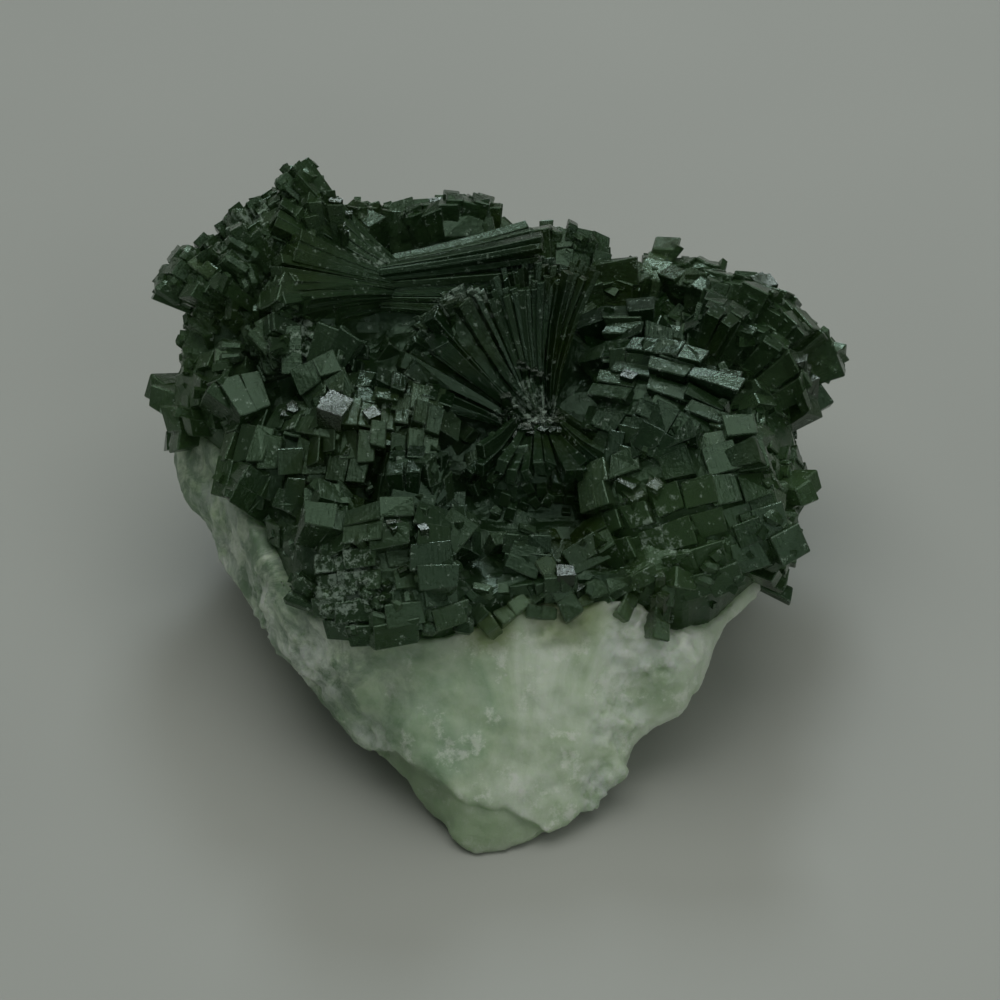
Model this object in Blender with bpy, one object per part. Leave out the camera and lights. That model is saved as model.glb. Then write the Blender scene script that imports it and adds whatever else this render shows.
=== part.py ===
"""Rough prehnite: a lump of pale massive prehnite that carries a crust of dark green crystals.

Metres, +Z up, the pointed front towards -Y. The origin lies on the flat broken face that the stone rests on.
The crust is one solid, because its bow-tie sheaves, fans and tabular crystals have all grown into each other.
"""

import math
import random

import bmesh
import bpy
from mathutils import Vector, noise

MM = 0.001
SEED = 11

# Real sizes of the whole specimen and of its crystals.
GAP = 0.35 * MM  # left between the stone and the crust, so that the two solids stay apart
STONE_ROUGHNESS = 0.55 * MM
STONE_GRAIN = 5.0 * MM  # size of the lumps and hollows on the broken faces
CRUST_ROUGHNESS = 0.5 * MM
TABLET_WIDTH = (2.2 * MM, 3.8 * MM)  # shortest and longest edge of a loose tabular crystal
TABLET_THICKNESS = (1.4 * MM, 2.4 * MM)
TABLET_DEPTH = 4.0 * MM  # how long a tabular crystal is, most of it inside the crust
TABLET_COUNT = 26
TABLET_LEAN = math.radians(34)  # how far a crystal may lean away from the surface that it stands on
TABLET_PROUD = (0.5 * MM, 1.5 * MM)

FLAT_ANGLE = math.radians(1.0)  # faces closer to one plane than this are one face

STONE_COLUMNS = 56  # points round the stone
CRUST_COLUMNS = 36  # points round the crust's body
STONE_STEPS = 4  # rows of faces between two rings of the stone

# The stone at stations round it, starting at the pointed front and going anticlockwise seen from above:
# base edge (x, y), belly (x, y, z), rim where the crust begins (x, y, z), shoulder of the crust (x, y, z), in mm.
STATIONS = (
    ((-1.8, -25.4), (-1.8, -26.0, 0.7), (-4.0, -15.7, 12.7), (-4.0, -15.4, 16.0)),
    ((1.6, -23.6), (2.2, -24.4, 1.0), (0.7, -14.2, 13.9), (0.8, -13.4, 16.0)),
    ((4.6, -19.4), (6.4, -21.4, 2.4), (5.2, -13.4, 13.8), (4.8, -12.4, 16.2)),
    ((6.6, -14.2), (9.2, -17.4, 4.0), (10.0, -12.9, 13.2), (9.4, -11.6, 16.2)),
    ((8.6, -10.2), (13.0, -15.4, 5.6), (13.6, -13.6, 11.0), (13.6, -12.0, 14.5)),
    ((10.8, -5.0), (15.8, -9.2, 7.2), (17.4, -8.0, 9.6), (18.8, -6.6, 13.6)),
    ((13.0, 1.5), (19.4, -1.6, 7.8), (20.8, -0.6, 9.8), (21.8, -0.2, 14.0)),
    ((13.6, 7.0), (20.6, 6.4, 8.4), (21.6, 7.2, 11.2), (22.0, 7.2, 16.2)),
    ((12.0, 12.0), (20.0, 13.6, 8.6), (21.8, 13.8, 12.0), (23.4, 14.0, 17.2)),
    ((8.0, 15.4), (14.2, 19.6, 8.4), (15.6, 20.4, 12.8), (16.4, 20.8, 17.2)),
    ((1.0, 17.0), (5.6, 21.6, 7.8), (6.6, 21.8, 13.4), (7.0, 22.6, 18.0)),
    ((-5.8, 16.4), (-3.4, 22.6, 7.8), (-3.0, 23.0, 14.2), (-2.6, 23.8, 19.2)),
    ((-10.4, 13.8), (-12.6, 20.0, 8.2), (-12.0, 20.6, 14.8), (-11.6, 21.2, 20.0)),
    ((-13.2, 9.6), (-20.4, 15.2, 8.8), (-20.6, 15.8, 15.0), (-20.6, 16.0, 22.0)),
    ((-13.8, 4.8), (-23.6, 10.0, 9.2), (-24.4, 9.2, 14.8), (-24.2, 9.8, 20.0)),
    ((-13.0, 0.0), (-21.8, 3.4, 8.2), (-21.4, 3.0, 15.0), (-21.2, 4.2, 17.6)),
    ((-11.2, -6.0), (-19.6, -3.4, 7.4), (-18.6, -3.8, 14.4), (-17.8, -3.0, 17.4)),
    ((-8.6, -11.4), (-16.6, -9.6, 6.6), (-15.8, -10.6, 13.4), (-15.2, -9.2, 16.6)),
    ((-6.2, -16.8), (-11.8, -15.7, 5.0), (-13.0, -14.0, 12.7), (-12.2, -13.0, 15.8)),
    ((-4.4, -21.6), (-6.6, -20.8, 3.0), (-9.6, -15.6, 12.8), (-8.8, -15.0, 16.0)),
)

# Flat faces that the stone broke along: a point of the face and the way it faces, in mm.
BROKEN_FACES = (
    ((1.5, -24.4, 1.0), (0.13, -0.76, 0.64)),
    ((-3.6, -24.6, 1.6), (-0.62, -0.76, -0.05)),
    ((14.0, -14.6, 8.0), (0.80, -0.60, -0.05)),
    ((-17.8, -8.4, 9.5), (-0.86, -0.50, 0.05)),
)

# Swellings (positive) and hollows (negative) of the stone: middle of each, its radius and how far it goes, in mm.
SWELLINGS = (
    ((7.8, -18.4, 2.6), 2.4, 1.0),
    ((5.4, -20.8, 1.6), 1.8, 0.7),
    ((-4.0, -22.6, 2.4), 3.2, -0.8),
    ((0.5, -19.5, 8.6), 5.0, 0.6),
    ((-7.0, -17.4, 10.6), 3.0, -0.6),
    ((12.6, -14.8, 9.4), 2.6, 0.7),
    ((8.6, -16.4, 9.0), 2.4, -0.6),
    ((-15.4, -11.6, 10.0), 3.2, 0.8),
    ((-19.0, -4.6, 9.0), 3.0, -0.8),
    ((-22.0, 4.0, 10.6), 3.4, 0.9),
    ((-16.8, -7.2, 4.4), 3.0, -0.7),
    ((18.6, -4.0, 6.0), 3.4, -0.9),
    ((19.6, 8.6, 6.6), 3.6, 0.9),
    ((12.0, 18.6, 7.2), 3.6, -1.0),
    ((0.0, 21.0, 10.2), 3.2, 0.9),
    ((-8.4, 20.4, 6.4), 3.4, -0.9),
    ((-18.6, 13.4, 9.8), 3.4, 0.8),
)

# Heights of the crust's body under its crystals (x, y, z), in mm.
CROWN_HEIGHTS = (
    (-15.5, 17.5, 25.0),
    (-18.5, 13.0, 24.0),
    (-21.0, 9.5, 20.5),
    (-20.0, 4.5, 18.5),
    (-13.8, 4.6, 20.5),
    (-10.0, 9.0, 19.5),
    (-8.1, 13.5, 21.5),
    (2.0, 15.0, 22.0),
    (-3.0, 9.6, 21.5),
    (2.5, 9.4, 21.0),
    (3.0, 4.5, 15.5),
    (2.0, -2.0, 15.0),
    (6.4, -5.0, 15.5),
    (-9.4, -2.0, 18.8),
    (-4.0, -2.0, 16.0),
    (-6.4, -9.0, 18.0),
    (-15.0, -4.0, 17.0),
    (-8.0, -14.0, 16.4),
    (1.0, -11.4, 15.4),
    (6.0, -9.6, 13.8),
    (11.4, -0.6, 19.2),
    (12.4, -8.0, 17.0),
    (17.5, -4.0, 15.5),
    (12.0, 6.0, 17.5),
    (13.0, 13.0, 16.5),
    (19.5, 11.0, 17.0),
    (6.4, 15.6, 17.8),
    (-7.0, 21.0, 18.6),
    (2.0, 21.5, 18.0),
    (12.0, 18.4, 17.0),
)

# Sheaves and fans: name, waist, middle of the crown, which way the blades fan out, blades across, blades deep,
# fan angle and depth angle in degrees, width and depth at the waist. Places and widths in mm.
SHEAVES = (
    ("left_bow", (-8.1, 13.0, 21.8), (-17.4, 13.6, 24.2), (0.12, 0.92, 0.3), 6, 2, 64, 40, 3.0, 3.4),
    ("left_dome", (-12.6, 12.4, 17.0), (-19.6, 17.2, 25.0), (0.7, 0.55, 0.45), 4, 3, 54, 48, 3.4, 3.4),
    ("left_lump", (-13.6, 8.6, 13.0), (-22.6, 10.4, 18.0), (0.2, 0.7, 0.6), 3, 3, 58, 52, 3.2, 3.2),
    ("right_bow", (-9.0, 13.0, 22.2), (3.8, 14.2, 22.2), (0.0, 0.45, 0.9), 3, 2, 18, 14, 3.0, 3.0),
    ("centre_fan", (2.6, 4.2, 16.6), (-0.8, 10.4, 24.2), (1.0, 0.1, 0.0), 7, 2, 74, 22, 2.6, 2.4),
    ("centre_lobe", (1.6, 3.6, 17.4), (-5.8, 6.2, 22.6), (0.5, 0.3, 0.8), 4, 1, 44, 24, 2.0, 2.4),
    ("lower_fan", (2.8, 3.6, 16.4), (3.6, -5.4, 17.4), (1.0, 0.15, 0.0), 6, 1, 70, 16, 2.8, 2.2),
    ("right_barrel", (13.0, 2.4, 14.0), (11.4, -0.6, 22.0), (0.85, -0.4, 0.1), 3, 4, 50, 50, 2.6, 2.6),
    ("low_barrel", (15.0, -1.6, 11.6), (13.2, -8.8, 18.6), (0.9, 0.0, 0.4), 3, 3, 60, 54, 3.0, 3.0),
    ("low_side", (13.8, -3.0, 12.6), (20.8, -4.8, 14.2), (0.2, -0.5, 0.85), 3, 2, 56, 44, 3.4, 3.4),
    ("right_lobe", (14.0, 8.6, 12.0), (20.0, 13.0, 18.2), (0.55, -0.5, -0.65), 3, 3, 46, 54, 3.2, 3.2),
    ("far_lobe", (15.6, 11.0, 12.0), (21.2, 17.4, 18.4), (0.8, -0.6, 0.0), 3, 2, 50, 42, 3.0, 3.0),
    ("right_shelf", (15.0, 3.4, 12.6), (21.0, 3.6, 15.4), (0.0, 0.9, 0.3), 3, 2, 48, 36, 3.2, 3.0),
    ("upper_blocks", (11.8, 9.0, 13.6), (12.0, 8.0, 20.4), (0.9, -0.1, 0.3), 3, 3, 54, 50, 2.6, 2.6),
    ("left_blocks", (-8.6, 0.0, 15.0), (-9.0, -2.0, 22.4), (0.95, -0.1, 0.1), 4, 3, 58, 40, 2.8, 2.6),
    ("west_blocks", (-14.6, 0.6, 13.6), (-16.6, -2.8, 19.4), (0.8, -0.4, 0.2), 3, 3, 54, 48, 2.6, 2.6),
    ("south_blocks", (-7.6, -9.0, 12.4), (-8.6, -14.6, 18.2), (0.95, 0.0, 0.1), 4, 3, 62, 56, 2.8, 2.8),
    ("lens_east", (-13.4, 5.6, 21.8), (-10.6, 4.6, 22.8), (0.0, -0.5, 0.86), 2, 1, 44, 30, 1.4, 1.8),
    ("lens_west", (-13.4, 5.6, 21.8), (-17.4, 5.0, 22.4), (0.0, -0.5, 0.86), 3, 1, 46, 30, 1.4, 1.8),
    ("back_west", (-4.6, 18.4, 15.6), (-6.2, 23.0, 22.8), (0.95, 0.1, 0.2), 3, 2, 58, 34, 3.0, 3.0),
    ("back_east", (2.6, 18.0, 14.6), (2.0, 22.8, 20.0), (1.0, 0.0, 0.0), 4, 2, 66, 34, 3.2, 3.0),
    ("back_corner", (-12.6, 15.4, 17.6), (-14.2, 19.6, 24.6), (0.8, 0.5, 0.0), 3, 2, 50, 38, 3.0, 3.0),
)

# Single tabular crystals that stand out by themselves: middle of the top face, the way it faces, turn in degrees,
# width, depth across and height. Places and sizes in mm.
TABLETS = (
    ((-6.0, -8.6, 20.8), (0.12, -0.55, 0.82), 34, 3.8, 3.4, 4.0),
    ((-3.2, -11.4, 19.0), (0.3, -0.5, 0.8), 12, 2.8, 2.4, 3.4),
    ((-12.6, -8.6, 19.2), (-0.3, -0.45, 0.84), 40, 3.0, 2.8, 3.6),
    ((2.0, -11.2, 17.0), (0.1, -0.6, 0.78), 20, 3.4, 2.4, 3.4),
    ((6.2, -10.6, 16.2), (0.25, -0.6, 0.75), -14, 3.0, 2.2, 3.2),
    ((9.6, 18.0, 19.4), (0.1, 0.3, 0.95), 15, 3.6, 2.8, 4.0),
    ((13.0, 20.6, 18.2), (0.3, 0.4, 0.85), 40, 3.4, 2.8, 4.0),
    ((-23.4, 6.6, 17.0), (-0.8, -0.3, 0.4), 10, 3.6, 3.2, 4.0),
)

STONE_COLOUR = (0.42, 0.52, 0.38, 1.0)
CRUST_COLOUR = (0.030, 0.052, 0.030, 1.0)


def clear_scene():
    for old in list(bpy.data.objects):
        bpy.data.objects.remove(old, do_unlink=True)


def material(name, colour, roughness):
    made = bpy.data.materials.new(name)
    made.use_nodes = True
    shader = made.node_tree.nodes["Principled BSDF"]
    shader.inputs["Base Color"].default_value = colour
    shader.inputs["Roughness"].default_value = roughness
    shader.inputs["Metallic"].default_value = 0.0
    return made


def add_object(name, bm, finish=None):
    mesh = bpy.data.meshes.new(name)
    bm.to_mesh(mesh)
    bm.free()
    obj = bpy.data.objects.new(name, mesh)
    bpy.context.scene.collection.objects.link(obj)
    if finish:
        mesh.materials.append(finish)
    return obj


def smooth_loop(points, count):
    """A closed smooth curve through the points, as count points."""
    made = []
    for i in range(count):
        place = i * len(points) / count
        k = int(place)
        t = place - k
        before, here, after, beyond = (points[(k + d) % len(points)] for d in (-1, 0, 1, 2))
        made.append(
            0.5
            * (
                2 * here
                + (after - before) * t
                + (2 * before - 5 * here + 4 * after - beyond) * t**2
                + (3 * here - before - 3 * after + beyond) * t**3
            )
        )
    return made


def station_ring(which, count):
    points = [Vector((*s[which], 0.0)[:3]) * MM for s in STATIONS]
    return smooth_loop(points, count)


def mixed_ring(first, second, share, bulge=0.0):
    """A ring between two others, pushed out from the axis by bulge at the middle."""
    made = []
    for a, b in zip(first, second):
        point = a.lerp(b, share)
        outward = Vector((point.x, point.y, 0.0)).normalized()
        made.append(point + outward * bulge * 4 * share * (1 - share))
    return made


def shrunk_ring(ring, share, height):
    """The ring drawn in towards the axis, at the heights that the function gives."""
    made = []
    for p in ring:
        x, y = p.x * share, p.y * share
        made.append(Vector((x, y, height(x, y, p.z))))
    return made


def skin(rings, bottom, top):
    """A closed body over a stack of rings with the same number of points, from a bottom point to a top point."""
    bm = bmesh.new()
    rows = [[bm.verts.new(p) for p in ring] for ring in rings]
    low, high = bm.verts.new(bottom), bm.verts.new(top)
    count = len(rings[0])
    for i in range(count):
        j = (i + 1) % count
        bm.faces.new((low, rows[0][j], rows[0][i]))
        bm.faces.new((high, rows[-1][i], rows[-1][j]))
        for lower, upper in zip(rows, rows[1:]):
            bm.faces.new((lower[i], lower[j], upper[j], upper[i]))
    bmesh.ops.recalc_face_normals(bm, faces=bm.faces)
    return bm


def interface_height(x, y, edge):
    """The stone's hidden top under the crust: from the rim it dips a little to the middle."""
    reach = math.hypot(x, y) / (20 * MM)
    return edge - 1.5 * MM * (1 - min(1.0, reach) ** 2)


def roughened(bm, amount, grain, keep_below=None):
    """Moves the points along their normals by smooth noise. What lies at or below keep_below stays flat."""
    bm.normal_update()
    moves = {}
    for v in bm.verts:
        if keep_below is not None and v.co.z <= keep_below:
            continue
        swell = noise.noise(v.co / grain) + 0.5 * noise.noise(v.co * 2.3 / grain)
        moves[v] = v.normal * swell * amount
    for v, move in moves.items():
        v.co += move


def swelled(bm, places, keep_below):
    """Pushes the surface out or in around the given places. What lies at or below keep_below stays flat."""
    bm.normal_update()
    moves = {}
    for v in bm.verts:
        if v.co.z <= keep_below:
            continue
        for place, radius, amount in places:
            near = (v.co - Vector(place) * MM).length / (radius * MM)
            if near < 1:
                moves[v] = moves.get(v, Vector()) + v.normal * amount * MM * (1 - near**2) ** 2
    for v, move in moves.items():
        v.co += move


def broken(bm, faces):
    """Cuts the body along flat faces and closes each cut."""
    for point, facing in faces:
        everything = bm.verts[:] + bm.edges[:] + bm.faces[:]
        cut = bmesh.ops.bisect_plane(
            bm,
            geom=everything,
            plane_co=Vector(point) * MM,
            plane_no=Vector(facing).normalized(),
            clear_outer=True,
        )
        rim = [e for e in cut["geom_cut"] if isinstance(e, bmesh.types.BMEdge)]
        bmesh.ops.edgenet_fill(bm, edges=rim)
    bmesh.ops.recalc_face_normals(bm, faces=bm.faces)


def stone_body():
    """The massive prehnite: a flat base, an undercut up to the belly, broken sides up to the rim, a hidden top."""
    base, belly, rim = (station_ring(which, STONE_COLUMNS) for which in range(3))
    rings = [shrunk_ring(base, share, lambda x, y, z: 0.0) for share in (0.35, 0.7)]
    rings.append(base)
    for step in range(1, STONE_STEPS):
        rings.append(mixed_ring(base, belly, step / STONE_STEPS, 0.5 * MM))
    rings.append(belly)
    for step in range(1, STONE_STEPS):
        rings.append(mixed_ring(belly, rim, step / STONE_STEPS, 0.5 * MM))
    rings.append(rim)
    for share in (0.86, 0.6, 0.3):
        rings.append(shrunk_ring(rim, share, interface_height))
    bm = skin(rings, (0, 0, 0), (0, 0, 12.0 * MM))
    roughened(bm, STONE_ROUGHNESS, STONE_GRAIN, keep_below=0.05 * MM)
    swelled(bm, SWELLINGS, keep_below=0.05 * MM)
    broken(bm, BROKEN_FACES)
    bmesh.ops.triangulate(bm, faces=bm.faces)
    return bm


def swollen(bm, amount):
    bm.normal_update()
    moved = [(v, v.co + v.normal * amount) for v in bm.verts]
    for v, place in moved:
        v.co = place


def crown_height(x, y, edge=0.0):
    """The height of the crust's body, from the nearest of the given heights."""
    total, weight = 0.0, 0.0
    for px, py, pz in CROWN_HEIGHTS:
        near = 1.0 / ((x - px * MM) ** 2 + (y - py * MM) ** 2 + (0.8 * MM) ** 2) ** 1.6
        total += near * pz * MM
        weight += near
    return total / weight


def crust_body():
    """The ground mass of the crust that the crystals stand on. Its lower side reaches into the stone."""
    rim, shoulder = (station_ring(which, CRUST_COLUMNS) for which in (2, 3))

    def inner(share, drop):
        return [Vector((p.x * share, p.y * share, p.z - drop * MM)) for p in rim]

    rings = [inner(0.5, 4.0), inner(0.88, 2.0), mixed_ring(rim, shoulder, 0.35, 0.4 * MM), shoulder]
    for share in (0.93, 0.82, 0.68, 0.52, 0.35, 0.18):
        rings.append(shrunk_ring(shoulder, share, crown_height))
    bm = skin(rings, (0, 0, 8 * MM), (0, 0, crown_height(0, 0)))
    roughened(bm, CRUST_ROUGHNESS, STONE_GRAIN)
    bmesh.ops.triangulate(bm, faces=bm.faces)
    return bm


def blade(bm, foot, tip, across, foot_size, tip_size, lean=(0.0, 0.0)):
    """One crystal: a tapered six-sided body from foot to tip. Sizes are (width along across, depth)."""
    along = (tip - foot).normalized()
    across = (across - along * across.dot(along)).normalized()
    deep = along.cross(across)
    corners = []
    for place, (width, depth) in ((foot, foot_size), (tip, tip_size)):
        for sx, sy in ((-1, -1), (1, -1), (1, 1), (-1, 1)):
            tilt = along * (lean[0] * sx * width + lean[1] * sy * depth) * 0.5 if place is tip else Vector()
            corners.append(bm.verts.new(place + across * sx * width / 2 + deep * sy * depth / 2 + tilt))
    low, high = corners[:4], corners[4:]
    bm.faces.new(low[::-1])
    bm.faces.new(high)
    for i in range(4):
        j = (i + 1) % 4
        bm.faces.new((low[i], low[j], high[j], high[i]))


def sheaf(bm, rng, waist, crown, spread, fan_count, deep_count, fan_deg, deep_deg, waist_width, waist_depth):
    """Blades that diverge from a waist: fluted at the sides, a mosaic of stepped ends at the crown."""
    waist, crown = Vector(waist) * MM, Vector(crown) * MM
    along = (crown - waist).normalized()
    spread = Vector(spread)
    spread = (spread - along * spread.dot(along)).normalized()
    deep = along.cross(spread)
    reach = (crown - waist).length
    fan, depth_fan = math.radians(fan_deg), math.radians(deep_deg)
    end_width, end_depth = reach * fan / fan_count, reach * depth_fan / deep_count
    for i in range(fan_count):
        for j in range(deep_count):
            u = (i + 0.5) / fan_count - 0.5 + rng.uniform(-0.1, 0.1) / fan_count
            v = (j + 0.5) / deep_count - 0.5 + rng.uniform(-0.1, 0.1) / deep_count
            way = along + spread * math.tan(u * fan) + deep * math.tan(v * depth_fan)
            foot = waist + (spread * u * waist_width + deep * v * waist_depth) * MM
            tip = foot + way.normalized() * reach * rng.uniform(0.9, 1.06)
            size = rng.uniform(1.0, 1.25)
            lean = (rng.uniform(-0.25, 0.25), rng.uniform(-0.25, 0.25))
            foot_size = (waist_width * MM / fan_count * 1.2, waist_depth * MM / deep_count * 1.2)
            blade(bm, foot, tip, spread, foot_size, (end_width * size, end_depth * size), lean)


def tablet(bm, top, facing, turn_deg, width, across, height):
    """A tabular crystal whose top face is at the given place."""
    facing = facing.normalized()
    side = facing.orthogonal().normalized()
    turned = side * math.cos(math.radians(turn_deg)) + facing.cross(side) * math.sin(math.radians(turn_deg))
    blade(bm, top - facing * height, top, turned, (width * 0.8, across * 0.8), (width, across))


def scattered_tablets(bm, body, rng):
    """Tabular crystals all over the crust's body, standing on its surface and leaning at random."""
    faces = [f for f in body.faces if f.calc_center_median().z > 13 * MM]
    areas = [f.calc_area() for f in faces]
    for face in rng.choices(faces, weights=areas, k=TABLET_COUNT):
        corners = [v.co for v in face.verts]
        a, b = sorted((rng.random(), rng.random()))
        place = corners[0] * a + corners[1] * (b - a) + corners[2] * (1 - b)
        lean = Vector([rng.uniform(-1, 1) for _ in range(3)]) * math.tan(TABLET_LEAN)
        facing = (face.normal + lean * 0.6).normalized()
        size = rng.uniform(*TABLET_WIDTH)
        thin = rng.uniform(*TABLET_THICKNESS)
        top = place + facing * rng.uniform(*TABLET_PROUD)
        tablet(bm, top, facing, rng.uniform(0, 180), size, thin, TABLET_DEPTH)


def crystals(body):
    """All the crystals of the crust, still as separate bodies that overlap."""
    rng = random.Random(SEED)
    bm = bmesh.new()
    for _, *measures in SHEAVES:
        sheaf(bm, rng, *measures)
    for top, facing, turn, width, across, height in TABLETS:
        tablet(bm, Vector(top) * MM, Vector(facing), turn, width * MM, across * MM, height * MM)
    scattered_tablets(bm, body, rng)
    return bm


def boolean(obj, other, operation, joins_itself=False):
    modifier = obj.modifiers.new(operation.title(), "BOOLEAN")
    modifier.operation = operation
    modifier.object = other
    modifier.solver = "EXACT"
    modifier.use_self = joins_itself


def islands(bm):
    """The separate closed surfaces of a mesh, as lists of faces."""
    left, found = set(bm.faces), []
    while left:
        border = [left.pop()]
        island = []
        while border:
            face = border.pop()
            island.append(face)
            for edge in face.edges:
                for other in edge.link_faces:
                    if other in left:
                        left.remove(other)
                        border.append(other)
        found.append(island)
    return found


def keep_outer_surface(obj):
    """Applies the modifiers, then fills the closed pockets between crossed crystals and drops loose crumbs."""
    graph = bpy.context.evaluated_depsgraph_get()
    mesh = bpy.data.meshes.new_from_object(obj.evaluated_get(graph), depsgraph=graph)
    obj.modifiers.clear()
    bm = bmesh.new()
    bm.from_mesh(mesh)
    surfaces = sorted(islands(bm), key=len)
    for pocket in surfaces[:-1]:
        bmesh.ops.delete(bm, geom=pocket, context="FACES")
    bmesh.ops.dissolve_limit(bm, angle_limit=FLAT_ANGLE, verts=bm.verts, edges=bm.edges)
    bmesh.ops.triangulate(bm, faces=bm.faces)
    bm.to_mesh(mesh)
    bm.free()
    obj.data = mesh


def main():
    clear_scene()
    stone = stone_body()
    bed = stone.copy()
    swollen(bed, GAP)
    body = crust_body()
    grown = crystals(body)

    add_object("stone", stone, material("pale_prehnite", STONE_COLOUR, 0.45))
    crust = add_object("crystal_crust", body, material("dark_prehnite", CRUST_COLOUR, 0.3))
    helpers = [add_object("crystals_to_join", grown), add_object("stone_bed", bed)]
    boolean(crust, helpers[0], "UNION", joins_itself=True)
    boolean(crust, helpers[1], "DIFFERENCE")
    keep_outer_surface(crust)
    for helper in helpers:
        bpy.data.objects.remove(helper, do_unlink=True)


main()
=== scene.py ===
"""The rough prehnite as it looks: a cloudy pale stone under a crust of dark green sheaves, fans and tablets."""

import math
import random

import bmesh
import bpy
import numpy as np
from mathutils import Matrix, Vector
from mathutils.bvhtree import BVHTree


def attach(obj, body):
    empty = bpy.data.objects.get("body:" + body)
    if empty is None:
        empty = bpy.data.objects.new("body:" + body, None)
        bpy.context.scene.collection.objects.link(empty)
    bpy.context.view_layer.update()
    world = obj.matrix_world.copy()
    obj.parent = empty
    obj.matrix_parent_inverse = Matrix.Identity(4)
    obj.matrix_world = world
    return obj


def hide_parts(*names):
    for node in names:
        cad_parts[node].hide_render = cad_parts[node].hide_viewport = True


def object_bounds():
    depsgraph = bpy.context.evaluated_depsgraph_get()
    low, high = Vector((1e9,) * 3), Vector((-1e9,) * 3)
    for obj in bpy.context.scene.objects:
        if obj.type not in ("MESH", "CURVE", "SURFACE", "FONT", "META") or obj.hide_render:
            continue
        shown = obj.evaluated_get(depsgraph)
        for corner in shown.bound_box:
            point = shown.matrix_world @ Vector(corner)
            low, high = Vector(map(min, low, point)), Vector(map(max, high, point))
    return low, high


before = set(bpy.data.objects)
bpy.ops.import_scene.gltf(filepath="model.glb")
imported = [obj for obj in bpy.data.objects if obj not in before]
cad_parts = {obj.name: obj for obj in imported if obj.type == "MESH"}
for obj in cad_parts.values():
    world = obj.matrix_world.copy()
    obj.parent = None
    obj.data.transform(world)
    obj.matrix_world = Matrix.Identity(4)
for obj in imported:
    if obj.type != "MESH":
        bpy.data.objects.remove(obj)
cad_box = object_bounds()

MM = 0.001
SEED = 11

# Camera of the photograph: 40 degrees above the table, far away with a long lens.
CAMERA_TARGET = Vector((0.0, 0.0, 12.3)) * MM
CAMERA_DISTANCE = 400 * MM
CAMERA_ELEVATION = math.radians(40)
VIEW_WIDTH = 73.5 * MM  # what the picture shows across, at the target

# Lamps: name, place in metres, edge in metres, power in watts and colour.
WINDOW = (0.03, 0.75, 0.62)
LAMPS = (
    ("overhead", (-0.02, 0.12, 0.7), 0.8, 2.3, (0.97, 1.0, 0.93)),
    ("window", WINDOW, 0.22, 1.6, (0.86, 0.96, 1.0)),
    ("front", (0.35, -0.5, 0.45), 0.6, 0.65, (0.96, 1.0, 0.96)),
)
DAYLIGHT = (0.92, 1.0, 0.94, 1.0)
DAYLIGHT_STRENGTH = 0.12

# Crystals.
CHAMFER = 0.1  # of the unit crystal
CAP_FROM = 0.39  # corners of the unit crystal above this height, or below its opposite, belong to its ends
UNEVEN = 0.045  # how far a crystal's corners stray, as a share of its size
PLATE_STEP = 0.2 * MM  # how much the plates of one block differ in height
MIRROR_TONE = -1.0  # of the crystals whose end faces mirror the window
CURVE = 0.08  # how much the long blades of a fan bend outwards, as a share of their spread

# The ground that they stand on: voxels that wear the solid crust down and that mesh the result, how much is worn off,
# size and depth of its grains, and how far and from what height its underside is set into the stone, in mm.
WEAR_VOXEL, GROUND_VOXEL = 0.45, 0.58
WORN_OFF = 0.5
GRAIN_SIZE, GRAIN_DEPTH = 1.3, 0.5
SET_IN, SET_IN_BELOW = 1.7, 1.8

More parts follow.
